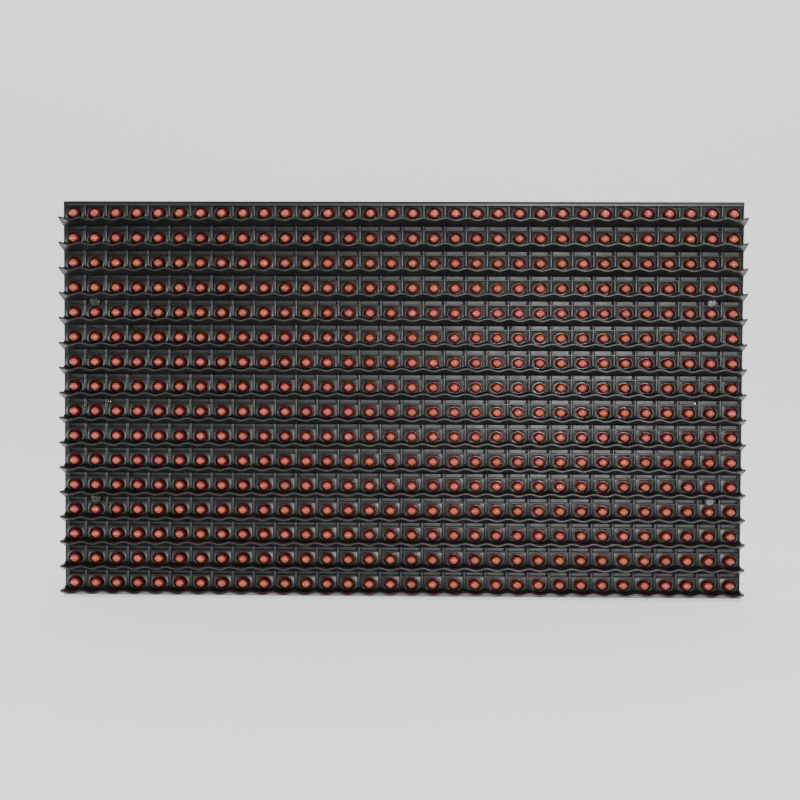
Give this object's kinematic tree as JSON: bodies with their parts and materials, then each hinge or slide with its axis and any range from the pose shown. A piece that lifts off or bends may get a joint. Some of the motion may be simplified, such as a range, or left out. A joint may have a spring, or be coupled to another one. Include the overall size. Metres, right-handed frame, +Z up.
{
  "type": "led dot matrix",
  "caption": "Rectangular LED dot matrix display module: grid of round red lamps behind a black louvred mask, driver board and open-backed frame with threaded inserts.",
  "frame": {"origin": "middle of the underside, on the plane the lower long edge stands on", "axes": "+X along the lamp rows, +Z up the lamp columns, +Y towards the back, so the lamps face -Y"},
  "size_m": [0.32, 0.0256, 0.1864],
  "materials": {
    "mask_plastic": "matt black polycarbonate",
    "red_epoxy": "clear red tinted epoxy",
    "tinned_leads": "tin plated",
    "black_silicone": "satin black sealing compound",
    "board_laminate": "green solder mask on glass fibre laminate",
    "frame_plastic": "fine textured black plastic",
    "chip_body": "moulded black epoxy",
    "resistor_body": "black glaze on ceramic",
    "capacitor_ceramic": "tan ceramic",
    "connector_black": "black moulding",
    "can_aluminium": "satin",
    "gold_pins": "gold flash",
    "connector_white": "natural nylon",
    "screw_dark": "black oxide",
    "screw_bright": "zinc plated",
    "insert_brass": "turned brass"
  },
  "bodies": {
    "root": {"louvre_mask": "mask_plastic", "lamp_lenses": "red_epoxy", "lamp_leads": "tinned_leads", "potting_layer": "black_silicone", "circuit_board": "board_laminate", "rear_frame": "frame_plastic", "shift_registers": "chip_body", "buffers": "chip_body", "decoder": "chip_body", "row_switches": "chip_body", "ic_leads": "tinned_leads", "chip_resistors": "resistor_body", "chip_capacitors": "capacitor_ceramic", "capacitor_bases": "connector_black", "capacitor_cans": "can_aluminium", "data_header_shrouds": "connector_black", "data_header_pins": "gold_pins", "power_connector_housing": "connector_white", "power_connector_pins": "tinned_leads", "mask_screws": "screw_dark", "board_screws": "screw_bright", "threaded_inserts": "insert_brass"}
  },
  "joints": []
}
